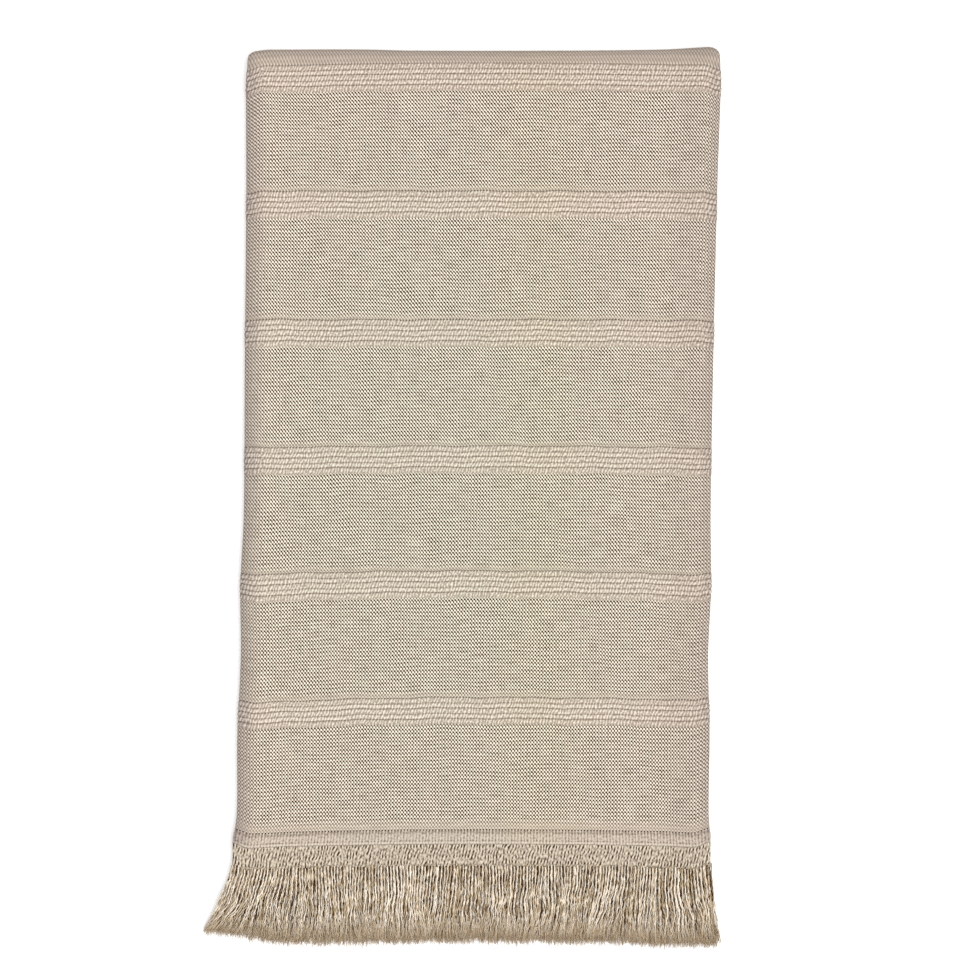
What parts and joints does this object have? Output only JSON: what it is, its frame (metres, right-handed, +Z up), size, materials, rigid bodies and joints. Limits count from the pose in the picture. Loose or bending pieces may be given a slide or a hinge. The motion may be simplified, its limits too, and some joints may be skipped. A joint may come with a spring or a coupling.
{
  "type": "hammam towel",
  "caption": "Flat cotton hammam towel with ribbed bands and fringed ends, both long sides turned in and folded in half across, lying on a surface.",
  "frame": {"origin": "middle of the folded towel's footprint, on the surface it lies on", "axes": "+X across the folded towel, +Y from the fringe to the top fold, +Z up from the surface"},
  "size_m": [0.5204, 0.903, 0.0193],
  "materials": {
    "cotton_cloth": "matt undyed cotton in plain weave, with bands of raised ribs",
    "cotton_fringe": "matt loose cotton yarn, frayed at its ends"
  },
  "bodies": {
    "root": {"towel": "cotton_cloth", "upper_fringe": "cotton_fringe", "lower_fringe": "cotton_fringe"}
  },
  "joints": []
}
